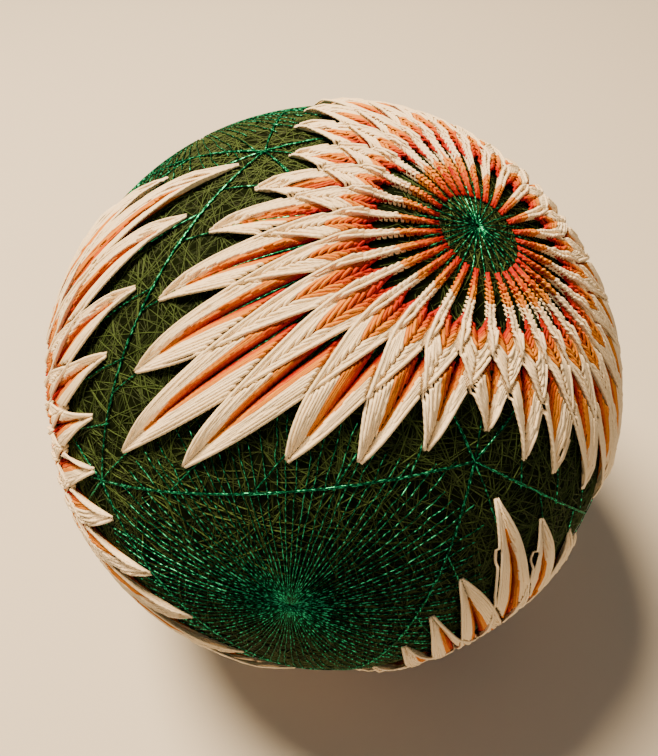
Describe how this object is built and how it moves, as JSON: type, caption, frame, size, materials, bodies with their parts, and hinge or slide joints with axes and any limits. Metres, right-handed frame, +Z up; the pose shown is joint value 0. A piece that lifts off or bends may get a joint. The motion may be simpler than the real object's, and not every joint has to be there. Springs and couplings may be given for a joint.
{
  "type": "temari ball",
  "caption": "Thread-wound decorative ball with long-petalled chrysanthemum flowers stitched over it, resting on a small flat spot.",
  "frame": {"origin": "centre of the small flat spot that the ball rests on", "axes": "+Z up through the ball's centre, -Y towards the viewer of the picture, +X to the viewer's right"},
  "size_m": [0.1222, 0.1222, 0.1216],
  "materials": {
    "green_thread": "fine matt sewing thread wound in all directions",
    "stitched_thread": "soft sheen of twisted cotton thread in laid rows"
  },
  "bodies": {
    "root": {"wound_ball": "green_thread", "flower_top": "stitched_thread", "flower_left": "stitched_thread", "flower_low": "stitched_thread", "flower_back": "stitched_thread"}
  },
  "joints": []
}
